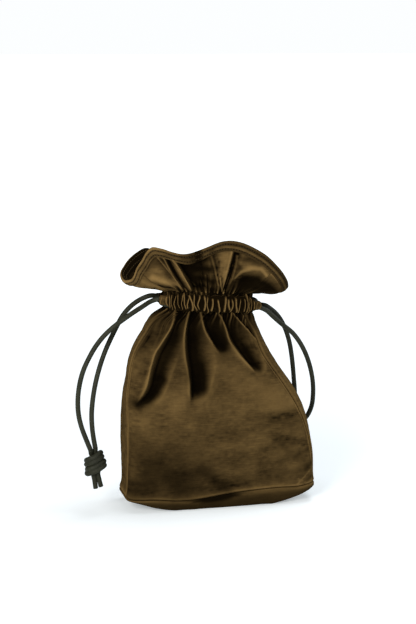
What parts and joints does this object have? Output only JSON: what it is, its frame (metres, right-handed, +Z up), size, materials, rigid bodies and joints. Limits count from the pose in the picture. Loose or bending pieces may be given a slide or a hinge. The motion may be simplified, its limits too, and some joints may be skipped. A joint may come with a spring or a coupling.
{
  "type": "kinchaku drawstring pouch",
  "caption": "Boxed satin drawstring pouch with a cord-gathered neck, pleated casings, a flared ruffle with a bound mouth, and two knotted cords.",
  "frame": {"origin": "on the floor under the middle of the flat base", "axes": "+X to the right of the front, +Y from the front to the back, +Z up"},
  "size_m": [0.2563, 0.0953, 0.2652],
  "materials": {
    "cloth": "velvety satin, dark bronze brown",
    "band": "the same satin, folded and stitched in two rows",
    "casing": "the same satin, in dense fine pleats",
    "cord": "round satin cord with fine lengthwise ribs, dark olive grey"
  },
  "bodies": {
    "root": {"front_panel": "cloth", "back_panel": "cloth", "left_gusset": "cloth", "right_gusset": "cloth", "base_panel": "cloth", "mouth_binding": "band", "front_casing": "casing", "back_casing": "casing", "left_drawcord": "cord", "right_drawcord": "cord", "left_knot": "cord", "right_knot": "cord"}
  },
  "joints": []
}
